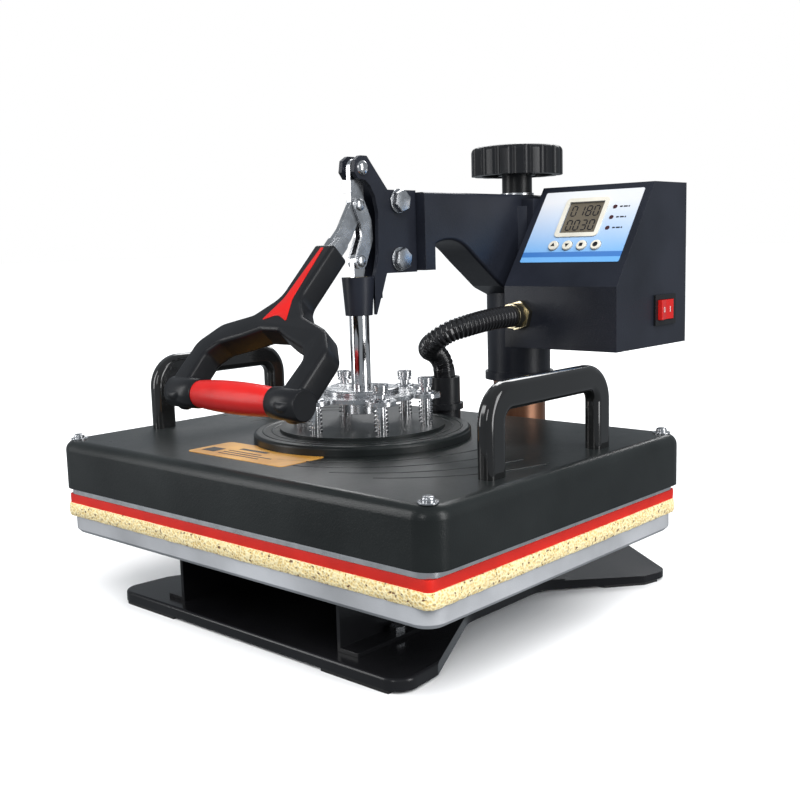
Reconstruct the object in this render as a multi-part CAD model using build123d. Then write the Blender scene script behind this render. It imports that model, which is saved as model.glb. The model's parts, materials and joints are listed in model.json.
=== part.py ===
from build123d import *
import math
import os

# Heat press, swing-away type. Millimetres, +Z up, +X to the operator's right, +Y to the back.
# Sub-parts are drawn about the centre of the platens, on the floor, and save() moves them
# to the middle of the footprint.

# Heights of the stack, from the floor up
base_height = 10.0
support_height = 45.0
lower_platen_thickness = 13.5
foam_thickness = 10.2
mat_thickness = 7.3
closed_gap = 0.3
support_top = base_height + support_height
lower_platen_top = support_top + lower_platen_thickness
foam_top = lower_platen_top + foam_thickness
mat_top = foam_top + mat_thickness
heat_bottom = mat_top + closed_gap

# Platens and cover
platen_width = 380.0
platen_depth = 290.0
platen_corner = 10.0
heat_plate_thickness = 14.0
heat_top = heat_bottom + heat_plate_thickness
cover_width = 391.0
cover_depth = 296.0
cover_corner = 16.0
cover_bottom = 91.0
cover_top = 129.2
cover_wall = 1.6
cover_inside = cover_top - cover_wall
cover_screw_x = cover_width / 2 - 13.0
cover_screw_y = cover_depth / 2 - 12.0

# Base pan and the folded channel on it
support_half_width = 86.0
support_half_depth = 116.0
support_gauge = 3.0
support_foot = 16.0
front_half_width = 152.0
rear_half_width = 164.0
waist_half_width = 104.0
rear_foot_drop = 3.0
base_front = -129.0
base_rear = 262.0
base_wall = 2.5
foot_pad = 2.0
bolt_hole = 3.2
post_flange = 6.0

# Column and swing arm
column_y = 207.0
post_radius = 23.5
post_wall = 4.0
post_top = 281.0
sleeve_radius = 28.4
sleeve_bottom = 152.5
sleeve_top = 306.0
sleeve_clearance = 0.07
arm_top = 316.0
arm_half_width = 17.0
arm_front = 60.0
arm_block_bottom = 255.0
arm_block_depth = 12.0

# Pressure screw and knob
screw_radius = 8.0
washer_thickness = 2.0
stem_radius = 13.3
stem_bottom = arm_top + washer_thickness
knob_bottom = 333.5
knob_height = 25.0
knob_radius = 40.4
knob_flutes = 18

# Toggle linkage: three pivots, one above another when the press is closed
pivot_top = 333.0
lever_throw = 27.0
link_length = 42.0
pivot_middle = pivot_top - lever_throw
pivot_bottom = pivot_middle - link_length
tang_half = 2.0
link_inner = 2.3
link_outer = 4.3
cheek_inner = 4.7
cheek_outer = 8.2
pin_radius = 4.0
cheek_bolt_y = 38.7
running_gap = 0.05

# Plunger, guide and suspension
shaft_radius = 7.6
guide_bottom = 223.0
guide_radius = 12.5
guide_top = 252.0
shaft_bottom = 148.0
shaft_top = 245.0
spring_plate_radius = 84.0
spring_seat_radius = 64.0
spring_plate_step = 136.5
spring_seat = 139.0
spider_bottom = 160.0
spider_thickness = 3.5
spider_top = spider_bottom + spider_thickness
bolt_circle = 50.0
bolt_count = 6
bolt_first_angle = 30.0
bolt_radius = 3.5
bolt_head_radius = 5.8
bolt_head_lift = 4.5
bolt_head_height = 7.5

# Press handle, drawn in a plane that slopes down to the front
handle_slope = 45.0
handle_start_y = -27.0
handle_start_z = 271.0
sleeve_length = 76.0
stem_pocket = 42.0
yoke_width = 21.0
yoke_thickness = 19.0
grip_distance = 136.5
grip_half_length = 40.0
grip_radius = 11.5

# Side handles
side_handle_x = 172.0
side_handle_leg_y = 62.0
side_handle_top = 189.5
side_handle_width = 19.0
side_handle_thickness = 12.5

# Control box
box_left = 29.0
box_right = 137.0
box_front = 147.0
box_rear = 259.0
box_bottom = 187.0
box_top = 321.0
box_kink = 238.6
box_slope_y = 206.6
box_wall = 1.5
panel_margin = 6.5
panel_low = 23.4
panel_high = 95.5
window_x = 52.0
window_s = 68.0
window_width = 34.0
window_height = 31.5
button_s = 39.5
button_xs = (34.6, 48.2, 61.8, 75.4)
button_radius = 4.6
button_gap = 0.35
led_x = 80.0
led_levels = (56.5, 67.0, 77.5)
led_radius = 2.0
rocker_y = 222.5
rocker_z = 216.5
rocker_length = 30.0
rocker_height = 21.0
rocker_tilt = 7.0
rocker_pin = 1.5

# Hose from the control box to the heated platen
hose_radius = 9.0
gland_x = 45.4
gland_z = 214.5
gland_thread = 7.0
gland_floor = 3.0
hose_entry_y = 101.0
boss_top = 165.0
boss_radius = 12.5
boss_bore = 10.0

footprint_centre_y = (base_rear - cover_depth / 2) / 2


def save(shape, name):
    """Move a sub-part to the frame of the whole press and write it."""
    placed = Pos(0, -footprint_centre_y, 0) * shape
    export_step(placed, os.path.join("parts", name + ".step"))


def group(shapes):
    """Separate solids that share one node."""
    return Compound([solid for shape in shapes for solid in shape.solids()])


def at_z(level, sketch):
    return Plane.XY.offset(level) * sketch


def disc(radius, low, high, x=0.0, y=0.0):
    """Upright cylinder between two heights."""
    return extrude(at_z(low, Pos(x, y) * Circle(radius)), high - low)


def ring(outer, inner, low, high, x=0.0, y=0.0):
    return disc(outer, low, high, x, y) - disc(inner, low - 1, high + 1, x, y)


def slab(width, depth, corner, low, high):
    return extrude(at_z(low, RectangleRounded(width, depth, corner)), high - low)


def brick(low, high):
    """Box from its lowest corner to its highest corner."""
    size = [b - a for a, b in zip(low, high)]
    middle = [(a + b) / 2 for a, b in zip(low, high)]
    return Pos(*middle) * Box(*size)


def cross_pin(radius, half_length, y, z, x=0.0):
    """Cylinder along X."""
    return Pos(x, y, z) * Rot(0, 90, 0) * Cylinder(radius, 2 * half_length)


def capsule(start, end, width):
    """Flat strip with round ends between two points."""
    (x0, y0), (x1, y1) = start, end
    length = math.hypot(x1 - x0, y1 - y0)
    angle = math.degrees(math.atan2(y1 - y0, x1 - x0))
    strip = Pos((x0 + x1) / 2, (y0 + y1) / 2) * Rot(0, 0, angle) * Rectangle(length, width)
    return strip + Pos(x0, y0) * Circle(width / 2) + Pos(x1, y1) * Circle(width / 2)


def strips(points, width):
    """Bent flat strip through a list of points."""
    outline = capsule(points[0], points[1], width)
    for start, end in zip(points[1:], points[2:]):
        outline += capsule(start, end, width)
    return outline


def side_plate(points, inner, outer):
    """Plate that stands in the YZ plane, between two distances from the middle plane."""
    outline = Polygon(*points, align=None)
    return extrude(Plane.YZ.offset(inner) * outline, outer - inner, dir=(1, 0, 0))


def bolt_places(radius=bolt_circle):
    step = 360.0 / bolt_count
    angles = [math.radians(bolt_first_angle + step * i) for i in range(bolt_count)]
    return [(radius * math.cos(a), radius * math.sin(a)) for a in angles]


def corner_places(x, y):
    return [(sx * x, sy * y) for sx in (-1, 1) for sy in (-1, 1)]


# ---------------------------------------------------------------- base

def base_outline():
    """Right half of the hourglass plan, from the front middle to the back middle."""
    half = [
        (0, base_front),
        (front_half_width, base_front),
        (front_half_width - 4, -90),
        (waist_half_width, -4),
        (waist_half_width, 90),
        (rear_half_width - 6, 156),
        (rear_half_width, 180),
        (76, base_rear - 20),
        (56, base_rear),
        (0, base_rear),
    ]
    left = [(-x, y) for x, y in reversed(half[1:-1])]
    outline = Polygon(*(half + left), align=None)
    ends = outline.vertices().filter_by(lambda v: abs(v.X) > 120 and v.Y < -100)
    outline = fillet(ends, 14)
    feet = outline.vertices().filter_by(lambda v: abs(v.X) > 160)
    outline = fillet(feet, 12)
    bends = outline.vertices().filter_by(lambda v: abs(abs(v.X) - waist_half_width) < 1)
    return fillet(bends, 30)


def rear_slopes(drop):
    """Wedges that take the top of the pan down over the two rear feet."""
    top = base_height - drop
    profile = Polygon((75, top), (175, top - rear_foot_drop), (175, top + 30), (75, top + 30),
                      align=None)
    wedge = extrude(Plane.XZ.offset(-300) * profile, 195)
    return wedge + mirror(wedge, Plane.YZ)


def base_pan():
    outer = extrude(at_z(foot_pad, base_outline()), base_height - foot_pad) - rear_slopes(0)
    inner_plan = offset(base_outline(), -base_wall)
    inner = extrude(at_z(0, inner_plan), base_height - base_wall) - rear_slopes(base_wall)
    pan = outer - inner
    front_edge = pan.edges().filter_by(Axis.X).filter_by(
        lambda e: e.center().Z > base_height - 0.1 and e.center().Y < base_front + 1)
    pan = fillet(front_edge, 2.0)
    for x, y in support_bolt_places() + flange_bolt_places():
        pan -= disc(bolt_hole, 0, base_height + 1, x, y)
    return pan


def rubber_feet():
    """Strips under the flange of the pan, so that the press doesn't slide."""
    plan = base_outline() - offset(base_outline(), -7)
    feet = []
    for x, y in ((-110, base_front), (110, base_front), (-140, 150), (140, 150)):
        window = Pos(x, y) * Rectangle(60, 40)
        feet.append(extrude(plan & window, foot_pad))
    return group(feet)


def support_bolt_places():
    return corner_places(support_half_width + support_foot / 2, 68)


def flange_bolt_places():
    return [(x, column_y + y) for x, y in corner_places(26, 26)]


def platen_support():
    """Folded channel that carries the lower platen, with two feet turned outwards."""
    outer = brick((-support_half_width, -support_half_depth, base_height),
                  (support_half_width, support_half_depth, support_top))
    tunnel = brick((-support_half_width + support_gauge, -support_half_depth - 1, base_height - 1),
                   (support_half_width - support_gauge, support_half_depth + 1,
                    support_top - support_gauge))
    channel = outer - tunnel
    foot_end = support_half_width + support_foot
    for low, high in ((-foot_end, -support_half_width), (support_half_width, foot_end)):
        channel += brick((low, -support_half_depth, base_height),
                         (high, support_half_depth, base_height + support_gauge))
    for x, y in support_bolt_places():
        channel -= disc(bolt_hole, base_height - 1, base_height + 5, x, y)
    return channel


def lower_platen():
    plate = slab(platen_width, platen_depth, 14, support_top, lower_platen_top)
    bottom = plate.faces().sort_by(Axis.Z)[0]
    return chamfer(bottom.edges(), 3.0)


def foam_pad():
    return slab(platen_width + 4, platen_depth + 4, 6, lower_platen_top, foam_top)


def red_mat():
    return slab(platen_width, platen_depth, 4, foam_top, mat_top)


def hex_bolt(x, y, seat, length, across=10.0, head=4.0, radius=3.0):
    """Upright hexagon bolt; the shank goes down from the seat."""
    plan = Pos(x, y) * RegularPolygon(across / 2, 6, major_radius=False)
    return extrude(at_z(seat, plan), head) + disc(radius, seat - length, seat, x, y)


def base_bolts():
    """Bolts that hold the channel and the foot of the post to the pan."""
    bolts = [hex_bolt(x, y, base_height + support_gauge, 7) for x, y in support_bolt_places()]
    bolts += [hex_bolt(x, y, base_height + post_flange, 10) for x, y in flange_bolt_places()]
    return group(bolts)


def inner_post():
    """Tube that the arm turns on, welded to a square foot."""
    flange_top = base_height + post_flange
    tube = disc(post_radius, base_height, post_top, 0, column_y)
    flange = slab(74, 74, 10, base_height, flange_top)
    post = tube + Pos(0, column_y, 0) * flange
    post -= disc(post_radius - post_wall, flange_top, post_top + 1, 0, column_y)
    for x, y in flange_bolt_places():
        post -= disc(bolt_hole, base_height - 1, flange_top + 1, x, y)
    return post


def post_nut():
    """Threaded plug in the top of the post, which the pressure screw turns in."""
    inside = screw_radius + running_gap
    return ring(post_radius - post_wall, inside, post_top - 26, post_top, 0, column_y)


# ---------------------------------------------------------------- pressure screw

def thrust_rings():
    """Washer on top of the arm and retaining ring under its roof."""
    washer = ring(stem_radius + 1.5, screw_radius + 0.4, arm_top, stem_bottom, 0, column_y)
    clip = ring(12, screw_radius + 0.35, sleeve_top - 10, sleeve_top - 8, 0, column_y)
    return group([washer, clip])


def knob():
    """Fluted hand knob, hollow underneath, with a long stem."""
    top = knob_bottom + knob_height
    body = disc(knob_radius, knob_bottom, top, 0, column_y)
    rim = body.faces().sort_by(Axis.Z)[-1].edges()
    body = fillet(rim, 5.0)
    for i in range(knob_flutes):
        angle = 2 * math.pi * i / knob_flutes
        x = (knob_radius + 3.4) * math.cos(angle)
        y = (knob_radius + 3.4) * math.sin(angle)
        body -= disc(5.2, knob_bottom - 1, top + 1, x, column_y + y)
    body -= disc(knob_radius - 9, knob_bottom - 1, knob_bottom + 12, 0, column_y)
    body += disc(stem_radius + 3, knob_bottom, knob_bottom + 13, 0, column_y)
    body += disc(stem_radius, stem_bottom, knob_bottom + 1, 0, column_y)
    return body - disc(screw_radius, stem_bottom - 1, knob_bottom, 0, column_y)


def pressure_screw():
    shank = disc(screw_radius, post_top - 60, knob_bottom, 0, column_y)
    return chamfer(shank.faces().sort_by(Axis.Z)[0].edges(), 1.5)


# ---------------------------------------------------------------- swing arm

def swing_arm():
    block_back = arm_front + arm_block_depth
    arch = [(block_back, 274), (88, 278), (106, 275), (126, 262), (143, 250), (160, 238)]
    with BuildSketch() as profile:
        with BuildLine():
            Polyline((column_y + 24, arm_top), (arm_front, arm_top), (arm_front, arm_block_bottom),
                     (block_back, arm_block_bottom), arch[0])
            Spline(*arch)
            Polyline(arch[-1], (column_y, 220), (column_y + 24, 250), (column_y + 24, arm_top))
        make_face()
    web = extrude(Plane.YZ.offset(-arm_half_width) * profile.sketch, 2 * arm_half_width)
    long_edges = web.edges().filter_by(lambda e: e.length > 100)
    web = fillet(long_edges, 2.5)
    tongue = brick((-cheek_inner, 26, 256), (cheek_inner, arm_front + 1, 315))
    arm = web + tongue + disc(sleeve_radius, sleeve_bottom, sleeve_top, 0, column_y)
    bore = disc(post_radius + sleeve_clearance, sleeve_bottom - 1, sleeve_top - 8, 0, column_y)
    arm -= bore
    arm -= disc(screw_radius + 0.4, sleeve_top - 20, arm_top + 1, 0, column_y)
    for z in cheek_bolt_levels():
        arm -= cross_pin(5.0, 40, cheek_bolt_y, z)
    return arm


def sleeve_collar():
    return ring(sleeve_radius + 2.4, sleeve_radius, sleeve_bottom, sleeve_bottom + 7, 0, column_y)


def cheek_bolt_levels():
    return (264.5, 309.0)


def cheek_plates():
    """Side plates that carry the top pivot and, lower down, the plunger guide."""
    outline = [
        (-9, pivot_top - 3), (-7.5, pivot_top + 5.5), (-2, pivot_top + 9), (5, pivot_top + 9),
        (27, 317.5), (arm_front - 0.5, 317.5), (arm_front - 0.5, 254), (24, 254), (19, 241),
        (11.5, guide_bottom), (10, guide_bottom), (10, 250), (12.5, 258), (15, 268), (16, 300),
        (13, 312), (8, 320), (3, pivot_top - 9), (-5, pivot_top - 8),
    ]
    plates = []
    for low in (cheek_inner, -cheek_outer):
        plate = side_plate(outline, low, low + cheek_outer - cheek_inner)
        plate -= cross_pin(pin_radius, 40, 0, pivot_top)
        plate -= disc(guide_radius, guide_bottom - 5, guide_top)
        for z in cheek_bolt_levels():
            plate -= cross_pin(5.0, 40, cheek_bolt_y, z)
        plates.append(plate)
    return group(plates)


def plunger_guide():
    """Tapered block under the side plates; the plunger slides in its bush."""
    outer = Pos(0, 0, guide_bottom) * Solid.make_cone(10.4, 12.5, guide_top - guide_bottom)
    web = brick((-cheek_inner, 0, guide_bottom + 3), (cheek_inner, 22, guide_top))
    body = outer + web
    lower = brick((-20, 10, guide_bottom - 1), (20, 40, guide_bottom + 12))
    body -= lower
    return body - disc(9.2, guide_bottom - 1, guide_top + 1)


def guide_bush():
    return ring(9.2, shaft_radius + running_gap, guide_bottom, guide_top)


def hex_cross_bolt(y, z, half_grip, across=15.5, head=6.0, radius=5.0):
    """Hexagon bolt and nut across the arm, along X."""
    shank = cross_pin(radius, half_grip + head, y, z)
    plan = RegularPolygon(across / 2, 6, major_radius=False)
    heads = [extrude(Plane(origin=(s * half_grip, y, z), z_dir=(s, 0, 0)) * plan, head) for s in (-1, 1)]
    return shank + heads[0] + heads[1]


def cheek_bolts():
    return group([hex_cross_bolt(cheek_bolt_y, z, cheek_outer) for z in cheek_bolt_levels()])


def headed_pin(radius, half_grip, head_radius, head, y, z):
    pin = cross_pin(radius, half_grip + head, y, z)
    for side in (-1, 1):
        pin += cross_pin(head_radius, head / 2, y, z, side * (half_grip + head / 2))
    return pin


def top_pivot_pin():
    return headed_pin(pin_radius, cheek_outer, 5.6, 2.0, 0, pivot_top)


# ---------------------------------------------------------------- press handle

def handle_plane():
    """Local y runs down the handle to the front, local z stands off its upper face."""
    slope = math.radians(handle_slope)
    upper = Vector(0, -math.sin(slope), math.cos(slope))
    return Plane(origin=(0, handle_start_y, handle_start_z), x_dir=(-1, 0, 0), z_dir=upper)


def handle_solid(sketch, low, high):
    return extrude(handle_plane().offset(low) * sketch, high - low)


def lever():
    """Flat tang with both pivot eyes, a wide stop block and the stem for the handle."""
    stem_end = (handle_start_y - 22, handle_start_z - 22)
    elbow = (handle_start_y + 13, handle_start_z + 13)
    tang = strips([(0, pivot_top), (0, pivot_middle), elbow, stem_end], 14)
    plate = extrude(Plane.YZ.offset(-tang_half) * tang, 2 * tang_half)
    boss = cross_pin(5.3, cheek_inner - 0.35, 0, pivot_top)
    stop = brick((-link_outer, -9, pivot_middle + 9), (link_outer, -5, pivot_middle + 18))
    rib = strips([(handle_start_y + 6, handle_start_z + 6), stem_end], 11)
    stem = extrude(Plane.YZ.offset(-6) * rib, 12)
    body = plate + boss + stop + stem
    body -= cross_pin(pin_radius + running_gap, 40, 0, pivot_top)
    return body - cross_pin(3.5, 40, 0, pivot_middle)


def handle_yoke():
    """Moulded sleeve that forks into two arms, which hold the cross grip."""
    sleeve = Pos(0, sleeve_length / 2 - 4) * RectangleRounded(27, sleeve_length + 8, 7)
    tips = [(56, grip_distance + 1), (60, 106), (47, 88), (24, 78), (0, 70)]
    arm = strips(tips, yoke_width)
    outline = sleeve + arm + mirror(arm, Plane.YZ)
    body = handle_solid(outline, -yoke_thickness / 2, yoke_thickness / 2)
    pocket = handle_solid(Rectangle(12.6, 2 * stem_pocket), -7.6, 7.6)
    body -= pocket
    for side in (-1, 1):
        boss = handle_grip_cylinder(grip_radius, side * (grip_half_length + 9), 9)
        body += boss
    body -= handle_grip_cylinder(4.0, 0, 62)
    groove = handle_solid(inlay_outline(), yoke_thickness / 2 - 1.5, yoke_thickness / 2 + 1)
    return body - groove


def handle_grip_cylinder(radius, x, half_length):
    centre = handle_plane().from_local_coords((x, grip_distance, 0))
    return cross_pin(radius, half_length, centre.Y, centre.Z, x)


def inlay_outline():
    """Long wedge that widens into two points at the fork."""
    return Polygon((-1.5, 0), (1.5, 0), (6, 56), (13, 68), (0, 66), (-13, 68), (-6, 56), align=None)


def handle_inlay():
    return handle_solid(inlay_outline(), yoke_thickness / 2 - 1.5, yoke_thickness / 2 + 0.3)


def grip_tube():
    centre = handle_plane().from_local_coords((0, grip_distance, 0))
    tube = handle_grip_cylinder(grip_radius, 0, grip_half_length)
    tube = fillet(tube.edges().filter_by(GeomType.CIRCLE), 2.0)
    return tube - cross_pin(4.0, 60, centre.Y, centre.Z)


def grip_rod():
    return handle_grip_cylinder(4.0, 0, 61)


def link_profile():
    """Flat link that bows to the back, between the middle and the bottom pivot."""
    return strips([(0, pivot_middle), (6.5, pivot_middle - 13), (7.5, pivot_bottom + 17),
                   (0, pivot_bottom)], 12)


def toggle_links():
    """A pair of equal links, one on each side of the tang."""
    plates = []
    for low in (link_inner, -link_outer):
        plate = extrude(Plane.YZ.offset(low) * link_profile(), link_outer - link_inner)
        plates.append(plate - cross_pin(3.5 + running_gap, 40, 0, pivot_middle))
    return group(plates)


def middle_pivot_pin():
    return headed_pin(3.5, link_outer + 0.1, 5.0, 1.6, 0, pivot_middle)


def bottom_rivets():
    heads = [cross_pin(4.6, 0.8, 0, pivot_bottom, side * (link_outer + 0.8)) for side in (-1, 1)]
    return group(heads)


# ---------------------------------------------------------------- pressing head

def plunger_shaft():
    shaft = disc(shaft_radius, shaft_bottom, shaft_top)
    tongue_outline = strips([(0, shaft_top + 2), (0, pivot_bottom)], 12)
    tongue = extrude(Plane.YZ.offset(-tang_half) * tongue_outline, 2 * tang_half)
    tongue &= brick((-5, -8, shaft_top - 1), (5, 8, pivot_bottom + 10))
    return shaft + tongue - cross_pin(3.5, 40, 0, pivot_bottom)


def spider_plate():
    """Six-lobed plate that presses on the springs."""
    plan = Circle(43)
    for x, y in bolt_places():
        plan += Pos(x, y) * Circle(11.5)
    hollows = bolt_places(66)
    step = math.pi / bolt_count
    for x, y in hollows:
        turned = (x * math.cos(step) - y * math.sin(step), x * math.sin(step) + y * math.cos(step))
        plan -= Pos(*turned) * Circle(22)
    plate = extrude(at_z(spider_bottom, plan), spider_thickness)
    for x, y in bolt_places():
        plate -= disc(bolt_radius + 0.9, spider_bottom - 1, spider_top + 1, x, y)
    return plate - disc(shaft_radius, spider_bottom - 1, spider_top + 1)


def shaft_hub():
    """Collar under the lobed plate and a flat disc on top of it."""
    top = spider_top + 4.2
    collar = disc(11.5, shaft_bottom, spider_bottom)
    flat = disc(29, spider_top, top)
    flat = fillet(flat.faces().sort_by(Axis.Z)[-1].edges(), 2.0)
    bore = disc(shaft_radius, shaft_bottom - 1, top + 1)
    return group([collar - bore, flat - bore])


# ---------------------------------------------------------------- heated platen

def heat_plate():
    plate = slab(platen_width, platen_depth, platen_corner, heat_bottom, heat_top)
    for x, y in bolt_places():
        plate -= disc(bolt_radius, heat_top - 8, heat_top + 1, x, y)
    return plate


def heating_element():
    """Tubular heater that snakes over the top of the aluminium plate."""
    radius = 3.4
    half = 150.0
    rows = [-108, -72, 72, 108]
    pieces = []
    for low, high, side in ((rows[0], rows[1], 1), (rows[2], rows[3], 1)):
        line = FilletPolyline((-half, low, 0), (side * half, low, 0), (side * half, high, 0),
                              (-half, high, 0), radius=16)
        level = heat_top + radius
        profile = Plane(origin=(-half, low, 0), z_dir=(1, 0, 0)) * Circle(radius)
        pieces.append(Pos(0, 0, level) * sweep(profile, path=line))
    return group(pieces)


def insulation():
    wool = slab(340, 250, 8, heat_top + 7.5, 120)
    for x, y in bolt_places():
        wool -= disc(bolt_radius + 0.5, heat_top, 125, x, y)
    wool -= disc(16, heat_top, 125, 0, hose_entry_y)
    return wool


def heat_cover():
    outer = slab(cover_width, cover_depth, cover_corner, cover_bottom, cover_top)
    outer = fillet(outer.faces().sort_by(Axis.Z)[-1].edges(), 8.0)
    inner = slab(cover_width - 2 * cover_wall, cover_depth - 2 * cover_wall,
                 cover_corner - cover_wall, cover_bottom - 1, cover_inside)
    inner = fillet(inner.faces().sort_by(Axis.Z)[-1].edges(), 8.0 - cover_wall)
    shell = outer - inner
    for x, y in bolt_places():
        shell -= disc(bolt_radius, cover_inside - 1, cover_top + 1, x, y)
    for x, y in corner_places(cover_screw_x, cover_screw_y):
        shell -= disc(2.0, cover_inside - 1, cover_top + 1, x, y)
    return shell - disc(8.0, cover_inside - 1, cover_top + 1, 0, hose_entry_y)


def cover_washers():
    return group([ring(6.5, 2.0, cover_top, cover_top + 1.0, x, y)
                  for x, y in corner_places(cover_screw_x, cover_screw_y)])


def cover_screws():
    screws = []
    for x, y in corner_places(cover_screw_x, cover_screw_y):
        head = disc(4.0, cover_top + 1.0, cover_top + 4.2, x, y)
        head = fillet(head.faces().sort_by(Axis.Z)[-1].edges(), 1.6)
        screws.append(head + disc(2.0, cover_inside, cover_top + 1.0, x, y))
    return group(screws)


def spring_plate():
    plate = disc(spring_plate_radius, cover_top, spring_plate_step)
    plate = fillet(plate.faces().sort_by(Axis.Z)[-1].edges(), 2.5)
    plate += disc(spring_seat_radius, spring_plate_step, spring_seat)
    for x, y in bolt_places():
        plate -= disc(bolt_radius, cover_top - 1, spring_seat + 1, x, y)
    return plate


def suspension_bolts():
    bolts = []
    head_low = spider_top + bolt_head_lift
    for x, y in bolt_places():
        head = disc(bolt_head_radius, head_low, head_low + bolt_head_height, x, y)
        socket = at_z(head_low + 3, Pos(x, y) * RegularPolygon(2.6, 6))
        head -= extrude(socket, bolt_head_height)
        bolts.append(head + disc(bolt_radius, heat_top - 8, head_low, x, y))
    return group(bolts)


def suspension_springs():
    return group([ring(5.4, bolt_radius + 0.6, spring_seat + 0.1, spider_bottom - 0.1, x, y)
                  for x, y in bolt_places()])


def side_handles():
    """Bow handles: two legs and a bar, one rounded section all the way."""
    low = cover_top
    top = side_handle_top - side_handle_width / 2
    leg = side_handle_leg_y
    path = FilletPolyline((0, -leg, low), (0, -leg, top), (0, leg, top), (0, leg, low), radius=17)
    plan = RectangleRounded(side_handle_thickness, side_handle_width, 5.0)
    profile = Plane(origin=(0, -leg, low), x_dir=(1, 0, 0), z_dir=(0, 0, 1)) * plan
    bow = sweep(profile, path=path)
    return group([Pos(side * side_handle_x, 0, 0) * bow for side in (-1, 1)])


def hose_boss():
    boss = ring(boss_radius, boss_bore, cover_top, boss_top, 0, hose_entry_y)
    return boss + ring(boss_radius + 2.5, boss_bore, boss_top - 27, boss_top - 22, 0, hose_entry_y)


def cover_label():
    """Thin label on the front of the cover, cut back round the spring plate."""
    label = Pos(-15, -97, 0) * slab(104, 42, 4, cover_top, cover_top + 0.4)
    return label - disc(spring_plate_radius + 0.5, cover_top - 1, cover_top + 1)


# ---------------------------------------------------------------- control box

def box_profile(inset):
    """Side view of the box, with the panel leaning back above the kink."""
    run = box_slope_y - box_front
    rise = box_top - box_kink
    slope = rise / run
    front = box_front + inset
    top = box_top - inset
    kink = box_kink + slope * inset - inset * math.hypot(1, slope)
    slope_y = front + (top - kink) / slope
    return Polygon((front, box_bottom + inset), (box_rear, box_bottom + inset), (box_rear, top),
                   (slope_y, top), (front, kink), align=None)


def panel_plane(offset_out=0.0):
    """Local x runs from the box's left side, local y runs up the sloping panel."""
    run = box_slope_y - box_front
    rise = box_top - box_kink
    normal = Vector(0, -rise, run).normalized()
    origin = Vector(box_left, box_front, box_kink) + normal * offset_out
    return Plane(origin=origin, x_dir=(1, 0, 0), z_dir=normal)


def panel_holes():
    """Cut-outs in the sloping panel: display window, buttons and lamps."""
    holes = Pos(window_x, window_s) * Rectangle(window_width, window_height)
    for x in button_xs:
        holes += Pos(x, button_s) * Circle(button_radius + button_gap)
    for s in led_levels:
        holes += Pos(led_x, s) * Circle(led_radius)
    return holes


def box_shell():
    width = box_right - box_left
    outer = extrude(Plane.YZ.offset(box_left) * box_profile(0), width)
    inner = extrude(Plane.YZ.offset(box_left + box_wall) * box_profile(box_wall), width - 2 * box_wall)
    shell = outer - inner
    shell -= extrude(panel_plane(-4) * panel_holes(), 8)
    shell -= brick((box_right - 4, rocker_y - rocker_length / 2, rocker_z - rocker_height / 2),
                   (box_right + 4, rocker_y + rocker_length / 2, rocker_z + rocker_height / 2))
    return shell - gland_place() * Cylinder(gland_thread + 0.2, 10)


def box_back():
    back = brick((box_left, box_rear, box_bottom), (box_right, box_rear + box_wall, box_top))
    inlet = brick((70, box_rear - 1, 200), (98, box_rear + 5, 220))
    return back - inlet


def power_inlet():
    body = brick((70, box_rear - 18, 200), (98, box_rear + box_wall, 220))
    flange = brick((65, box_rear + box_wall, 197), (103, box_rear + 3, 223))
    cavity = brick((73, box_rear - 14, 203), (95, box_rear + 5, 217))
    inlet = body + flange - cavity
    for x in (78, 84, 90):
        inlet += brick((x - 1, box_rear - 15, 207), (x + 1, box_rear - 1, 213))
    return inlet


def box_mount():
    """Spacer between the arm and the box, shaped round the sleeve."""
    block = brick((arm_half_width, 190, 285), (box_left, 228, 312))
    return block - disc(sleeve_radius, 284, sleeve_top, 0, column_y)


def control_panel():
    width = box_right - box_left - 2 * panel_margin
    middle = (box_right - box_left) / 2
    face = Pos(middle, (panel_low + panel_high) / 2) * RectangleRounded(width, panel_high - panel_low, 1.5)
    return extrude(panel_plane() * (face - panel_holes()), 0.5)


def display_frame():
    outer = Pos(window_x, window_s) * RectangleRounded(window_width + 8, window_height + 8, 4)
    opening = Pos(window_x, window_s) * Rectangle(window_width, window_height)
    return extrude(panel_plane(0.5) * (outer - opening), 0.8)


def display_glass():
    window = Pos(window_x, window_s) * Rectangle(window_width - 0.4, window_height - 0.4)
    return extrude(panel_plane(-1.5) * window, 1.2)


def circuit_board():
    width = box_right - box_left - 2 * panel_margin
    middle = (box_right - box_left) / 2
    board = Pos(middle, (panel_low + panel_high) / 2 - 4) * Rectangle(width, panel_high - panel_low - 6)
    return extrude(panel_plane(-11.5) * board, 1.6)


def indicator_leds():
    lamps = [extrude(panel_plane(-3) * (Pos(led_x, s) * Circle(led_radius - 0.1)), 3.8) for s in led_levels]
    return group(lamps)


def panel_button(x):
    cap = extrude(panel_plane(-3.2) * (Pos(x, button_s) * Circle(button_radius)), 5.4)
    return fillet(cap.faces().sort_by(Axis.Z)[-1].edges(), 0.8)


def rocker_bezel():
    half_length = rocker_length / 2
    half_height = rocker_height / 2
    flange = brick((box_right, rocker_y - half_length - 2, rocker_z - half_height - 2),
                   (box_right + 2, rocker_y + half_length + 2, rocker_z + half_height + 2))
    body = brick((box_right - 18, rocker_y - half_length, rocker_z - half_height),
                 (box_right + 1, rocker_y + half_length, rocker_z + half_height))
    cavity = brick((box_right - 13, rocker_y - half_length + 2, rocker_z - half_height + 2),
                   (box_right + 3, rocker_y + half_length - 2, rocker_z + half_height - 2))
    seats = rocker_place() * Cylinder(rocker_pin + running_gap, rocker_height - 2)
    return flange + body - cavity - seats


def rocker_place():
    return Pos(box_right - 0.5, rocker_y, rocker_z)


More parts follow.
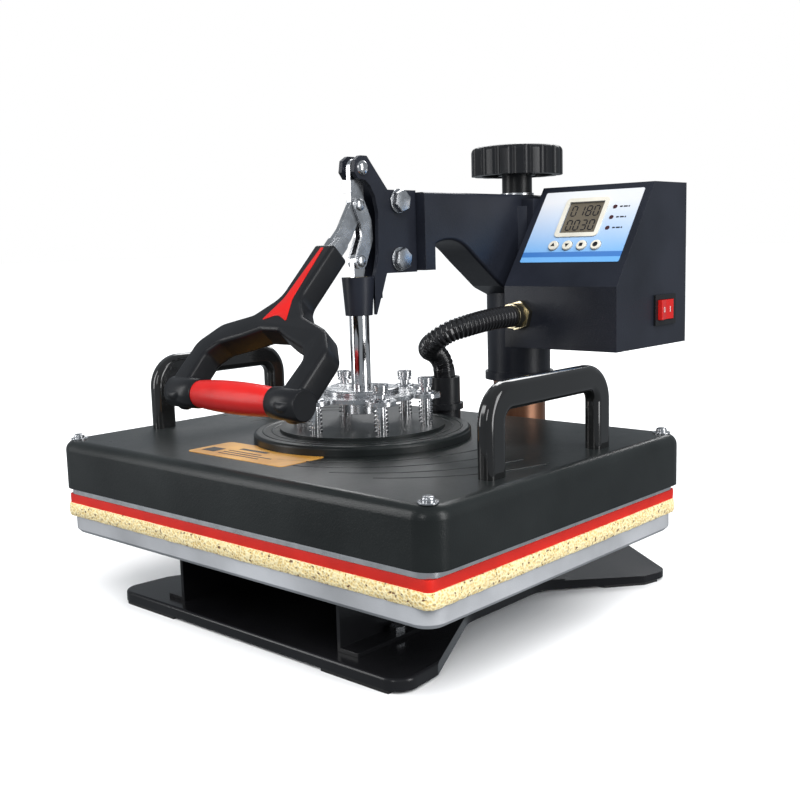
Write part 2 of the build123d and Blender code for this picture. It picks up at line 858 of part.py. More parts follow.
def rocker():
    """Rocker with a shallow V face, on a pin; it stands tipped to one side."""
    half = rocker_length / 2 - 2.6
    half_height = rocker_height / 2 - 2.4
    tip = 1.5
    plan = Polygon((-7, -half + 2), (-3, -half), (4.6, -half), (2.9, 0), (4.6, half), (-3, half),
                   (-7, half - 2), align=None)
    body = extrude(Plane.XY.offset(-half_height) * plan, 2 * half_height)
    lips = body.edges().filter_by(
        lambda e: e.center().X > tip and abs(e.center().Y) > half - 0.5)
    body = fillet(lips, 0.8)
    body += Cylinder(rocker_pin, rocker_height - 2.4)
    return rocker_place() * Rot(0, 0, rocker_tilt) * body


def gland_place():
    return Pos(gland_x, box_front, gland_z) * Rot(90, 0, 0)


def hose_gland():
    """Round connector on the front of the box: nut, collar and the thread through the wall."""
    nut = extrude(gland_place() * Rot(0, 0, 15) * RegularPolygon(11.0, 6, major_radius=False), 5)
    collar = extrude(gland_place() * Circle(10.2), 14)
    thread = extrude(gland_place() * Circle(gland_thread), -7)
    socket = extrude(gland_place() * Pos(0, 0, gland_floor) * Circle(hose_radius + running_gap), 15)
    return nut + collar + thread - socket


def hose_route():
    """From the gland out to the front, round and down into the boss on the cover."""
    return [
        (gland_x, box_front - gland_floor, gland_z),
        (gland_x, 124.5, gland_z),
        (42.0, 105.5, 213.2),
        (39.5, 85.0, 210.5),
        (29.3, 70.5, 205.8),
        (16.5, 66.5, 197.0),
        (4.3, 74.3, 190.2),
        (0.0, 90.0, 186.5),
        (0.0, hose_entry_y, 174.5),
        (0.0, hose_entry_y, 156.0),
    ]


def corner_radii(points):
    """Largest arc that each corner's two runs allow."""
    radii = []
    for before, here, after in zip(points, points[1:], points[2:]):
        first = Vector(here) - Vector(before)
        second = Vector(after) - Vector(here)
        turn = math.radians(first.get_angle(second))
        shorter = min(first.length, second.length)
        radii.append(0.45 * shorter / math.tan(turn / 2))
    return radii


def hose():
    points = hose_route()
    radii = corner_radii(points)
    print("hose radii", [round(r, 1) for r in radii])
    path = FilletPolyline(*points, radius=radii)
    start = Plane(origin=points[0], z_dir=(0, -1, 0)) * Circle(hose_radius)
    tube = sweep(start, path=path)
    print("hose length", round(path.length, 1), "volume ratio",
          round(tube.volume / (math.pi * hose_radius ** 2 * path.length), 4))
    return tube


def write_parts():
    nodes = {
        "base_pan": base_pan, "rubber_feet": rubber_feet, "platen_support": platen_support,
        "base_bolts": base_bolts, "lower_platen": lower_platen, "foam_pad": foam_pad,
        "red_mat": red_mat, "inner_post": inner_post, "post_nut": post_nut,
        "thrust_rings": thrust_rings, "knob": knob, "pressure_screw": pressure_screw,
        "swing_arm": swing_arm, "sleeve_collar": sleeve_collar, "cheek_plates": cheek_plates,
        "plunger_guide": plunger_guide, "guide_bush": guide_bush, "cheek_bolts": cheek_bolts,
        "top_pivot_pin": top_pivot_pin, "lever": lever, "handle_yoke": handle_yoke,
        "handle_inlay": handle_inlay, "grip_tube": grip_tube, "grip_rod": grip_rod,
        "toggle_links": toggle_links, "middle_pivot_pin": middle_pivot_pin,
        "bottom_rivets": bottom_rivets, "plunger_shaft": plunger_shaft,
        "spider_plate": spider_plate, "shaft_hub": shaft_hub, "heat_plate": heat_plate,
        "heating_element": heating_element, "insulation": insulation, "heat_cover": heat_cover,
        "cover_washers": cover_washers, "cover_screws": cover_screws,
        "spring_plate": spring_plate, "suspension_bolts": suspension_bolts,
        "suspension_springs": suspension_springs, "side_handles": side_handles,
        "hose_boss": hose_boss, "cover_label": cover_label, "box_shell": box_shell,
        "box_back": box_back, "power_inlet": power_inlet, "box_mount": box_mount,
        "control_panel": control_panel, "display_frame": display_frame,
        "display_glass": display_glass, "circuit_board": circuit_board,
        "indicator_leds": indicator_leds, "rocker_bezel": rocker_bezel, "rocker": rocker,
        "hose_gland": hose_gland, "hose": hose,
    }
    os.makedirs("parts", exist_ok=True)
    for name, make in nodes.items():
        save(make(), name)
    for number, x in enumerate(button_xs, 1):
        save(panel_button(x), "button_" + str(number))


write_parts()
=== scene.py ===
# %% [markdown]
# # A swing-away heat press
# The press is already drawn and packed as a fixed frame of steel, aluminium and plastic pieces.
# This lesson dresses that frame: it adds the soft pad, the coil springs, the corrugated hose, the
# moulded handle and the print on the control panel, and it gives every piece a finish.

# %% Load the frame
import json
import math

import bmesh
import bpy
from mathutils import Matrix, Vector, noise

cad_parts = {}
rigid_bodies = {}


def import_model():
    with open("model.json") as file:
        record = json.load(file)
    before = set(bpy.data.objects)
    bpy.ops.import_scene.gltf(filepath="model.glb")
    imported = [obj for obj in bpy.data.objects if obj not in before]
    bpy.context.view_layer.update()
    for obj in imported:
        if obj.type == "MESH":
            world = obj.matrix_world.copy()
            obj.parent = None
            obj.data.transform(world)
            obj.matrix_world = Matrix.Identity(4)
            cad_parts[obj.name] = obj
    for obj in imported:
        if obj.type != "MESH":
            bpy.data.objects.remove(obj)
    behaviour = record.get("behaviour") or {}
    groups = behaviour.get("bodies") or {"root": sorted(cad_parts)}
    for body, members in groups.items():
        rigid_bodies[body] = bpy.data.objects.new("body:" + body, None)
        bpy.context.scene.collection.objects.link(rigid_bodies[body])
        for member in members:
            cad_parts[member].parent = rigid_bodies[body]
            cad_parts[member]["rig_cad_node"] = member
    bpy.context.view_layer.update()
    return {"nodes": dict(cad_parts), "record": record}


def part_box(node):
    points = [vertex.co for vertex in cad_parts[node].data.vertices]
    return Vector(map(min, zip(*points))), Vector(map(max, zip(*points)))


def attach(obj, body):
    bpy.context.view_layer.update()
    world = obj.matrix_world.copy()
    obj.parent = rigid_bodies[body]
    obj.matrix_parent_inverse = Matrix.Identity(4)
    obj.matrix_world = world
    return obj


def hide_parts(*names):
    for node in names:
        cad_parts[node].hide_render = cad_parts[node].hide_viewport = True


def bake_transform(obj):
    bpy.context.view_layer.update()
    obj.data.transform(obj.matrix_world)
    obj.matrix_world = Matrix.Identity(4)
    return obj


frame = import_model()
nodes = frame["nodes"]
mm = 0.001
scene = bpy.context.scene
scene.view_settings.view_transform = "Standard"

# %% [markdown]
# ## Camera
# The press is seen from its front right corner, a little above the level of the heated platen.
# A camera looks along its own -Z, so its three turns are worked out from the direction of view:
# yaw about the press's Z, pitch down, and a very small roll.

# %% Place the camera
camera_data = bpy.data.cameras.new("camera")
camera_data.lens = 48.35
camera_data.sensor_width = 36.0
camera = bpy.data.objects.new("camera", camera_data)
scene.collection.objects.link(camera)
yaw, pitch, roll = math.radians(42.18), math.radians(8.213), -0.027
turn = Matrix.Rotation(yaw, 4, "Z") @ Matrix.Rotation(math.pi / 2 - pitch, 4, "X")
camera.matrix_world = (Matrix.Translation((0.5740, -0.6466, 0.2754)) @ turn
                       @ Matrix.Rotation(roll, 4, "Z"))
scene.camera = camera
print("camera at", [round(x, 3) for x in camera.matrix_world.translation])

# %% [markdown]
# ## Helpers for meshes
# Each new piece starts as a bmesh, gets its shape from operators, and ends as an object at the
# origin. `finished` makes that object, shades it and lets it ride on a body of the press.


# %% Make an object from a bmesh
def finished(name, bm, body, smooth=40):
    """Object of a bmesh, riding on a body; edges flatter than `smooth` degrees look round."""
    mesh = bpy.data.meshes.new(name)
    bm.to_mesh(mesh)
    bm.free()
    piece = bpy.data.objects.new(name, mesh)
    scene.collection.objects.link(piece)
    mesh.shade_smooth()
    mesh.set_sharp_from_angle(angle=math.radians(smooth))
    if body:
        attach(piece, body)
    return piece


def tidy(bm, gap=1e-6):
    """Merge doubles and point every face outwards."""
    bmesh.ops.remove_doubles(bm, verts=bm.verts, dist=gap)
    bmesh.ops.recalc_face_normals(bm, faces=bm.faces)


def turned(profile, centre, axis=(0, 0, 1), steps=32, bm=None):
    """A shape turned on a lathe: the profile is (radius, height) pairs along the axis."""
    bm = bm or bmesh.new()
    lean = Vector((0, 0, 1)).rotation_difference(Vector(axis))
    place = Matrix.Translation(centre) @ lean.to_matrix().to_4x4()
    verts = [bm.verts.new(place @ Vector((r, 0, z))) for r, z in profile]
    edges = [bm.edges.new(pair) for pair in zip(verts, verts[1:])]
    bmesh.ops.spin(bm, geom=verts + edges, cent=place.translation, axis=axis, angle=2 * math.pi,
                   steps=steps, use_merge=True, use_duplicate=False)
    return bm


def block(bm, low, high, place=Matrix.Identity(4)):
    """A box between two corners, in a plane of its own; returns its vertices."""
    size = Vector(high) - Vector(low)
    middle = (Vector(high) + Vector(low)) / 2
    box = Matrix.Translation(middle) @ Matrix.Diagonal((*size, 1))
    return bmesh.ops.create_cube(bm, size=1, matrix=place @ box)["verts"]


def rounded(edges, width, segments=3):
    return dict(geom=edges, offset=width, offset_type="OFFSET", affect="EDGES",
                segments=segments, profile=0.5, material=-1, clamp_overlap=True)


def arcs(corners, steps=6):
    """Outline through (x, y, radius) corners, each rounded by an arc of that radius."""
    outline = []
    count = len(corners)
    for i, (x, y, radius) in enumerate(corners):
        here = Vector((x, y))
        back = (Vector(corners[i - 1][:2]) - here).normalized()
        ahead = (Vector(corners[(i + 1) % count][:2]) - here).normalized()
        half = back.angle(ahead) / 2
        if radius <= 0 or half > 1.55:
            outline.append(here)
            continue
        centre = here + (back + ahead).normalized() * radius / math.sin(half)
        start = here + back * radius / math.tan(half) - centre
        sweep = start.angle_signed(here + ahead * radius / math.tan(half) - centre)
        outline += [centre + Matrix.Rotation(-sweep * k / steps, 2) @ start for k in range(steps + 1)]
    return outline


def cut_plate(bm, outline, low, high, place):
    """A plate with this outline between two heights over a plane; returns its faces."""
    verts = [bm.verts.new(place @ Vector((x, y, low))) for x, y in outline]
    face = bm.faces.new(verts)
    lift = place.to_3x3() @ Vector((0, 0, high - low))
    made = bmesh.ops.extrude_face_region(bm, geom=[face])["geom"]
    bmesh.ops.translate(bm, vec=lift, verts=[g for g in made if isinstance(g, bmesh.types.BMVert)])
    bmesh.ops.recalc_face_normals(bm, faces=bm.faces)
    return made


# %% [markdown]
# ## The hose
# A black corrugated hose carries the wires from the control box to the heated platen. It leaves the
# round connector forwards, bows out over the cover and drops into the boss. Its line is one
# smooth curve, so that it bends like a hose. Rings of changing size along that line, bridged one
# to the next, make the corrugations, and the two ends stay smooth as sleeves.

# %% The hose's line
hose_route = [(45.4, 87.0, 214.5), (45.4, 67.5, 214.5), (42.0, 48.5, 213.2), (39.5, 28.0, 210.5),
              (29.3, 13.5, 205.8), (16.5, 9.5, 197.0), (4.3, 17.3, 190.2), (0.0, 33.0, 186.5),
              (0.0, 44.0, 174.5), (0.0, 44.0, 156.0)]
line_data = bpy.data.curves.new("hose_line", "CURVE")
line_data.dimensions = "3D"
line_data.resolution_u = 24
spline = line_data.splines.new("NURBS")
spline.points.add(len(hose_route) - 1)
for point, (x, y, z) in zip(spline.points, hose_route):
    point.co = (x * mm, y * mm, z * mm, 1.0)
spline.order_u = 3
spline.use_endpoint_u = True
line_object = bpy.data.objects.new("hose_line", line_data)
scene.collection.objects.link(line_object)
line_mesh = bpy.data.meshes.new_from_object(line_object)
line_points = [v.co.copy() for v in line_mesh.vertices]
bpy.data.objects.remove(line_object)
hose_length = sum((b - a).length for a, b in zip(line_points, line_points[1:]))
print("hose line", round(hose_length * 1000, 1), "mm")


# %% Walk along a line
def along(points, distance):
    """Place and direction at a distance along a list of points."""
    for a, b in zip(points, points[1:]):
        step = (b - a).length
        if distance <= step or b is points[-1]:
            return a + (b - a) * (distance / step), (b - a).normalized()
        distance -= step


def hose_radius(distance):
    """Smooth sleeve, then ribs, then a smooth end in the boss."""
    rib_pitch, deep, full = 3.6 * mm, 7.9 * mm, 9.0 * mm
    sleeve_end, boss_end = 14 * mm, 16 * mm
    if distance < sleeve_end or distance > hose_length - boss_end:
        return full
    wave = 0.5 + 0.5 * math.cos(2 * math.pi * distance / rib_pitch)
    return deep + (full - deep) * wave ** 0.6


# %% Sweep the hose
bm = bmesh.new()
station_gap = 0.45 * mm
stations = round(hose_length / station_gap)
before = None
for i in range(stations + 1):
    where, ahead = along(line_points, hose_length * i / stations)
    ring_place = Matrix.Translation(where) @ ahead.to_track_quat("Z", "Y").to_matrix().to_4x4()
    made = bmesh.ops.create_circle(bm, segments=28, radius=hose_radius(hose_length * i / stations),
                                   matrix=ring_place, cap_ends=i in (0, stations))
    ring_edges = list({e for v in made["verts"] for e in v.link_edges})
    if before:
        bmesh.ops.bridge_loops(bm, edges=before + ring_edges)
    before = ring_edges
tidy(bm)
hose = finished("corrugated_hose", bm, None)
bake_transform(hose)
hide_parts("hose")
print("hose faces", len(hose.data.polygons))

# %% [markdown]
# ## Arithmetic on a surface
# A finish is a small sum over the surface: noise, masks and colours. Wrapping a node's output in a
# class with operators lets that sum be written as an expression, such as `1 - mask * 0.3`, and each
# operator adds one Math node.


# %% A socket with operators
class Value:
    """A number that varies over the surface."""

    def __init__(self, tree, socket):
        self.tree, self.socket = tree, socket

    def math(self, operation, *others, clamp=False):
        node = self.tree.nodes.new("ShaderNodeMath")
        node.operation, node.use_clamp = operation, clamp
        for entry, item in zip(node.inputs, others):
            if isinstance(item, Value):
                self.tree.links.new(item.socket, entry)
            else:
                entry.default_value = item
        return Value(self.tree, node.outputs[0])

    def __add__(self, other):
        return self.math("ADD", self, other)

    def __sub__(self, other):
        return self.math("SUBTRACT", self, other)

    def __rsub__(self, other):
        return self.math("SUBTRACT", other, self)

    def __mul__(self, other):
        return self.math("MULTIPLY", self, other)

    def __gt__(self, other):
        return self.math("GREATER_THAN", self, other)

    def __lt__(self, other):
        return self.math("LESS_THAN", self, other)

    __radd__, __rmul__ = __add__, __mul__

    def ease(self, low, high):
        """0 below low, 1 above high, and straight between them."""
        return self.math("MULTIPLY", self - low, 1 / (high - low), clamp=True)


# %% A finish
class Finish:
    """A material, its shader, and the nodes that feed it."""

    def __init__(self, name, **sockets):
        self.material = bpy.data.materials.new(name)
        self.material.use_nodes = True
        self.tree = self.material.node_tree
        self.shader = self.tree.nodes["Principled BSDF"]
        for socket, value in sockets.items():
            self.shader.inputs[socket.replace("_", " ")].default_value = value
        self.place = self.add("ShaderNodeTexCoord", out="Object")

    def add(self, kind, settings=(), out=0, **inputs):
        """Any node: its settings first, then values or links for its sockets."""
        node = self.tree.nodes.new(kind)
        for key, value in dict(settings).items():
            setattr(node, key, value)
        for key, value in inputs.items():
            entry = node.inputs[int(key[1:]) if key[1:].isdigit() else key.replace("_", " ")]
            if isinstance(value, Value):
                self.tree.links.new(value.socket, entry)
            else:
                entry.default_value = value
        return Value(self.tree, node.outputs[out])

    def noise(self, scale, detail=3.0, stretch=(1, 1, 1)):
        place = self.add("ShaderNodeMapping", out=0, Vector=self.place, Scale=stretch)
        return self.add("ShaderNodeTexNoise", out=0, Vector=place, Scale=scale, Detail=detail)

    def axes(self):
        """The surface point's x, y and z, in metres."""
        parts = self.tree.nodes.new("ShaderNodeSeparateXYZ")
        self.tree.links.new(self.place.socket, parts.inputs[0])
        return [Value(self.tree, socket) for socket in parts.outputs]

    def mix(self, share, first, second):
        """Colour: first where share is 0, second where it is 1."""
        def colour(c):
            return c if isinstance(c, Value) else (*c, 1)
        return self.add("ShaderNodeMix", {"data_type": "RGBA"}, out=2, _0=share, _6=colour(first),
                        _7=colour(second))

    def feed(self, **inputs):
        for key, value in inputs.items():
            self.tree.links.new(value.socket, self.shader.inputs[key.replace("_", " ")])

    def relief(self, height, depth, strength=0.5, edge=0.0):
        """Bump from a height, over edges that look rounded by `edge` metres."""
        inputs = {"Height": height, "Distance": depth, "Strength": strength}
        if edge:
            inputs["Normal"] = self.add("ShaderNodeBevel", {"samples": 4}, Radius=edge)
        self.feed(Normal=self.add("ShaderNodeBump", **inputs))


# %% [markdown]
# ## Finishes
# Sheet steel and castings on this press are painted, bolts and links are zinc plated, the plunger
# and springs are chromed, and what the hand touches is moulded plastic. Each finish has large,
# soft variation, as from handling, and fine grain of its own size.


# %% Paint
def paint(name, colour, roughness, peel=0.5, grain=900, metallic=0.0):
    """Sprayed or powder-coated steel: orange peel, faint smears and rounded edges."""
    finish = Finish(name, Coat_Weight=0.1, Coat_Roughness=0.25, Specular_IOR_Level=0.3, Metallic=metallic)
    smear = finish.noise(14, 4)
    dust = finish.noise(260, 3)
    dark = [c * 0.75 for c in colour]
    light = [c * 1.3 + 0.003 for c in colour]
    finish.feed(Base_Color=finish.mix(smear.ease(0.3, 0.7), dark, light),
                Roughness=roughness + (smear - 0.5) * 0.22 + dust * 0.05)
    finish.relief(finish.noise(grain, 2), 0.25 * mm, peel, edge=0.7 * mm)
    return finish.material


# %% Plated and bare metal
def plated(name, colour, roughness, mottle=0.12, lines=None, edge=0.4):
    """Plated or bare metal, with cloudy variation and, where it was turned or drawn, fine lines."""
    finish = Finish(name, Metallic=1.0)
    cloud = finish.noise(120, 4)
    fine = finish.noise(700, 2, lines or (1, 1, 1))
    dull = [c * (1 - 2 * mottle) for c in colour]
    finish.feed(Base_Color=finish.mix(cloud.ease(0.35, 0.65), dull, colour),
                Roughness=roughness + (cloud - 0.5) * mottle * 1.6 + (fine - 0.5) * 0.12)
    finish.relief(fine, 0.08 * mm, 0.35, edge=edge * mm)
    return finish.material


# %% Plastic
def moulded(name, colour, roughness, grain=1400, depth=0.12, coat=0.0, edge=0.5):
    """Moulded plastic with a fine etched grain."""
    finish = Finish(name, Coat_Weight=coat, Coat_Roughness=0.05, Specular_IOR_Level=0.35)
    cloud = finish.noise(40, 3)
    finish.feed(Base_Color=finish.mix(cloud.ease(0.3, 0.7), [c * 0.82 for c in colour], colour),
                Roughness=roughness + (cloud - 0.5) * 0.1)
    finish.relief(finish.noise(grain, 2), depth * mm, 0.4, edge=edge * mm)
    return finish.material


# %% Sponge, with dark crumbs, and pits painted darker as shade
def sponge():
    finish = Finish("sponge", Roughness=0.9, Sheen_Weight=0.2)
    cloud = finish.noise(60, 4)
    cells = finish.add("ShaderNodeTexVoronoi", out="Distance", Vector=finish.place, Scale=520.0)
    crumbs = finish.noise(330, 5)
    crumb = crumbs.ease(0.60, 0.66)
    yellow = finish.mix(cloud.ease(0.3, 0.7), (0.68, 0.47, 0.16), (0.90, 0.70, 0.32))
    # Painted shade: the pits are darker yellow and the raised cell walls are painted paler, following the
    # bump's own cells.
    pits_shaded = finish.mix(cells.ease(0.32, 0.62), yellow, (0.95, 0.82, 0.48))
    finish.feed(Base_Color=finish.mix(crumb, pits_shaded, (0.16, 0.07, 0.03)))
    finish.relief(cells - crumb * 0.6, 0.8 * mm, 0.7)
    return finish.material


# %% Printed panel: light grey at the top, blue at the bottom, with a darker line near the edge
def printed_panel():
    finish = Finish("printed_panel", Coat_Weight=0.6, Coat_Roughness=0.08)
    low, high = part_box("control_panel")
    height = finish.axes()[2].ease(low.z, high.z)
    fade = finish.mix(height.ease(0.08, 0.85), (0.10, 0.36, 0.74), (0.68, 0.69, 0.72))
    cloud = finish.noise(30, 3)
    stripe = (height > 0.075) * (height < 0.145)
    washed = finish.mix(cloud * 0.12, fade, (0.85, 0.9, 0.95))
    finish.feed(Base_Color=finish.mix(stripe * 0.8, washed, (0.02, 0.12, 0.42)),
                Roughness=0.33 + (cloud - 0.5) * 0.15)
    finish.relief(finish.noise(900, 2), 0.05 * mm, 0.3)
    return finish.material


# %% Amber label, with a cloudy tone
def amber_label():
    finish = Finish("amber_label", Coat_Weight=0.4, Coat_Roughness=0.1)
    cloud = finish.noise(45, 4)
    finish.feed(Base_Color=finish.mix(cloud.ease(0.3, 0.7), (0.62, 0.27, 0.03), (0.86, 0.46, 0.09)),
                Roughness=0.38 + (cloud - 0.5) * 0.2)
    finish.relief(finish.noise(1200, 2), 0.05 * mm, 0.3)
    return finish.material


# %% Greased steel of the inner column
def greased_steel():
    finish = Finish("greased_steel", Metallic=0.85)
    streaks = finish.noise(90, 4, (1, 1, 0.12))
    film = finish.noise(18, 3)
    finish.feed(Base_Color=finish.mix(streaks.ease(0.3, 0.7), (0.20, 0.085, 0.045), (0.46, 0.24, 0.15)),
                Roughness=0.3 + film * 0.2)
    finish.relief(streaks, 0.1 * mm, 0.3)
    return finish.material


# %% One material for each slot of the record
finishes = {
    "black_enamel": paint("black_enamel", (0.006, 0.006, 0.007), 0.16, peel=0.2, grain=420),
    "blue_black_coat": paint("blue_black_coat", (0.011, 0.013, 0.020), 0.36),
    "cover_black": paint("cover_black", (0.009, 0.011, 0.011), 0.30, peel=0.4),
    "zinc": plated("zinc", (0.76, 0.77, 0.79), 0.25),
    "chrome": plated("chrome", (0.80, 0.80, 0.81), 0.09, mottle=0.04, lines=(1, 1, 0.04)),
    "copper_post": greased_steel(),
    "aluminium": plated("aluminium", (0.80, 0.80, 0.81), 0.30, mottle=0.06, lines=(0.05, 0.05, 1)),
    "grey_platen": paint("grey_platen", (0.50, 0.51, 0.53), 0.42, peel=0.35, metallic=0.35),
    "red_silicone": moulded("red_silicone", (0.70, 0.02, 0.012), 0.55, grain=700, depth=0.2),
    "foam": sponge(),
    "rubber": moulded("rubber", (0.02, 0.02, 0.02), 0.75, grain=600, depth=0.3),
    "black_plastic": moulded("black_plastic", (0.009, 0.0095, 0.011), 0.33),
    "gloss_black_plastic": moulded("gloss_black_plastic", (0.008, 0.008, 0.008), 0.10, grain=120,
                                   depth=0.05, coat=0.8),
    "red_plastic": moulded("red_plastic", (0.60, 0.012, 0.010), 0.34),
    "beige_plastic": moulded("beige_plastic", (0.74, 0.71, 0.62), 0.38),
    "panel_print": printed_panel(),
    "label_print": amber_label(),
    "display": moulded("display", (0.13, 0.11, 0.08), 0.3, coat=0.4, depth=0.02),
    "led": moulded("led", (0.05, 0.012, 0.014), 0.12, coat=0.8, depth=0.02),
    "brass": plated("brass", (0.78, 0.68, 0.46), 0.22),
    "circuit": moulded("circuit", (0.02, 0.16, 0.06), 0.4),
    "insulation": moulded("insulation", (0.78, 0.75, 0.68), 0.9, grain=300, depth=0.8),
    "hose_plastic": moulded("hose_plastic", (0.011, 0.011, 0.012), 0.17, grain=300, depth=0.06, coat=0.5),
}


def dress(piece, slot):
    """Give a piece the finish of a material slot."""
    piece.data.materials.clear()
    piece.data.materials.append(finishes[slot])


for part in frame["record"]["subparts"]:
    dress(nodes[part["node"]], part["material_slot"])
dress(hose, "hose_plastic")
print("finishes", len(finishes))

# %% [markdown]
# ## Springs, bolts and pins of the pressing head
# Six chromed coil springs stand on the round plate, each round a bolt, and carry the lobed plate.
# A spring is a ring of wire spun about the bolt while it climbs, so one spin operator makes all its
# turns. The bolts are turned from one profile: a shank, a flange, a groove and a ribbed head that
# is hollow on top for the key.

# %% Where the bolts stand
head_centre = Vector((0, -57 * mm, 0))
bolt_circle, bolt_count = 50 * mm, 6
bolt_turns = [Matrix.Rotation(math.radians(30 + 60 * k), 3, "Z") for k in range(bolt_count)]
bolt_places = [head_centre + turn @ Vector((bolt_circle, 0, 0)) for turn in bolt_turns]
spring_low, spring_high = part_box("suspension_springs")[0].z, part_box("suspension_springs")[1].z

# %% Coil springs
wire, coil_radius, coils = 0.85 * mm, 4.6 * mm, 6.5
bm = bmesh.new()
for spot in bolt_places:
    steps = round(coils * 20)
    climb = (spring_high - spring_low - 2 * wire) / steps
    start = Matrix.Translation(spot + Vector((coil_radius, 0, spring_low + wire)))
    section = bmesh.ops.create_circle(bm, segments=10, radius=wire, cap_ends=True,
                                      matrix=start @ Matrix.Rotation(math.pi / 2, 4, "X"))["verts"]
    geometry = section + list({e for v in section for e in v.link_edges})
    geometry += list({f for v in section for f in v.link_faces})
    bmesh.ops.spin(bm, geom=geometry, cent=spot, axis=(0, 0, 1), dvec=(0, 0, climb),
                   angle=2 * math.pi * coils, steps=steps, use_duplicate=True)
tidy(bm)
springs = finished("coil_springs", bm, None)
dress(springs, "chrome")
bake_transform(springs)
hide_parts("suspension_springs")
print("spring triangles", sum(len(p.vertices) - 2 for p in springs.data.polygons))


# %% Socket-head bolts
bolts = bmesh.new()
head_low, head_high = 168.0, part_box("suspension_bolts")[1].z / mm
head_profile = [(radius * mm, (head_low + rise) * mm) for radius, rise in (
    (3.5, 0), (4.9, 0), (5.5, 0.5), (5.5, 1.5), (4.6, 1.8), (4.6, 2.4), (5.8, 2.7), (5.8, 3.6), (5.3, 3.9),
    (5.8, 4.2), (5.8, 5.1), (5.3, 5.4), (5.8, 5.7), (5.8, 6.7))]
head_profile += [(5.1 * mm, head_high * mm), (3.1 * mm, head_high * mm),
                 (2.9 * mm, (head_high - 3.5) * mm), (0, (head_high - 3.9) * mm)]
for spot in bolt_places:
    turned([(0, 92.5 * mm), (3.5 * mm, 92.5 * mm)] + head_profile, spot, steps=36, bm=bolts)
tidy(bolts)
socket_bolts = finished("socket_bolts", bolts, "platen", smooth=30)
dress(socket_bolts, "chrome")
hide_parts("suspension_bolts")

# %% Washers on the lobed plate, one round each bolt
bm = bmesh.new()
plate_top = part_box("spider_plate")[1].z
for spot in bolt_places:
    turned([(4.5 * mm, plate_top), (7.2 * mm, plate_top), (7.4 * mm, plate_top + 0.3 * mm),
            (7.4 * mm, plate_top + 1.0 * mm), (7.0 * mm, plate_top + 1.3 * mm),
            (4.5 * mm, plate_top + 1.3 * mm), (4.5 * mm, plate_top)], spot, steps=28, bm=bm)
tidy(bm)
dress(finished("plate_washers", bm, "head"), "zinc")


# %% Domed pins and rivets of the toggle
toggle_y = head_centre.y
pivot_top, pivot_middle, pivot_bottom = 333 * mm, 306 * mm, 264 * mm
plates_half, links_half = 8.2 * mm, 4.3 * mm


def domes(name, body, node, radius, height, level, inside, slot="zinc"):
    """A pin across the toggle with a domed head at each end; it stands for its CAD node."""
    bm = bmesh.new()
    for side in (-1, 1):
        profile = [(radius * math.cos(a), inside + height * math.sin(a))
                   for a in [math.pi / 2 * k / 6 for k in range(7)]]
        turned([(0, 0), (radius * 0.6, 0), (radius * 0.6, inside), (radius, inside)] + profile[1:-1]
               + [(0, inside + height)], Vector((0, toggle_y, level)), axis=(side, 0, 0), steps=28, bm=bm)
    tidy(bm)
    piece = finished(name, bm, body)
    dress(piece, slot)
    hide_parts(node)


domes("top_pin", "arm", "top_pivot_pin", 5.7 * mm, 3.0 * mm, pivot_top, plates_half, "chrome")
domes("middle_pin", "link", "middle_pivot_pin", 4.6 * mm, 2.0 * mm, pivot_middle, links_half + 0.1 * mm)
domes("bottom_pin_heads", "link", "bottom_rivets", 4.8 * mm, 2.2 * mm, pivot_bottom, links_half)

# %% Hexagon bolts through the side plates, with washers
cross_bolt_levels, cross_bolt_y = (264.5 * mm, 309.0 * mm), toggle_y + 38.7 * mm
washer_top, hexagon_top = plates_half + 1.5 * mm, plates_half + 6.4 * mm
washer_profile = [(5.0 * mm, plates_half), (9.2 * mm, plates_half), (9.4 * mm, plates_half + 0.3 * mm),
                  (9.4 * mm, washer_top - 0.3 * mm), (9.0 * mm, washer_top), (5.0 * mm, washer_top),
                  (5.0 * mm, plates_half)]
hexagon = [Vector((8.9 * mm, 0)) @ Matrix.Rotation(math.radians(60 * k + 12), 2) for k in range(6)]
bm = bmesh.new()
for z in cross_bolt_levels:
    for side in (-1, 1):
        spot = Vector((0, cross_bolt_y, z))
        turned(washer_profile, spot, axis=(side, 0, 0), bm=bm)
        place = Matrix.Translation(spot) @ Matrix.Rotation(side * math.pi / 2, 4, "Y")
        made = cut_plate(bm, hexagon, washer_top, hexagon_top, place)
        top = [g for g in made if isinstance(g, bmesh.types.BMFace)]
        rim = list({e for f in top for e in f.edges})
        bmesh.ops.bevel(bm, **rounded(rim, 1.1 * mm))
bmesh.ops.recalc_face_normals(bm, faces=bm.faces)
hex_bolts = finished("hexagon_bolts", bm, "arm", smooth=25)
dress(hex_bolts, "zinc")
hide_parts("cheek_bolts")
print("bolts and pins made")

# %% [markdown]
# ## The press handle
# The handle is one black moulding: a sleeve on the lever that forks into a stirrup, with a red barrel
# grip across its mouth. An outline with rounded corners is drawn in the handle's own sloping plane,
# raised to a plate and bevelled all round, so that its edges catch the light as the moulding's do.

# %% The handle's plane: x across, y down the handle, z off its upper face
slope = math.radians(45)
handle_plane = Matrix.Translation((0, -84 * mm, 271 * mm)) @ Matrix((
    (-1, 0, 0, 0),
    (0, -math.cos(slope), -math.sin(slope), 0),
    (0, -math.sin(slope), math.cos(slope), 0),
    (0, 0, 0, 1)))
grip_distance = 136.5 * mm
moulding_half = 9.5 * mm


def plate_rims(bm):
    """Edges round the two large faces of a plate."""
    return [e for e in bm.edges
            if e.calc_face_angle(0) > 1.2 and max(len(f.verts) for f in e.link_faces) > 10]


def mirrored(half):
    """Whole outline from its right half, which runs from the middle to the middle."""
    return half + [(-x, y, r) for x, y, r in reversed(half) if x > 0]


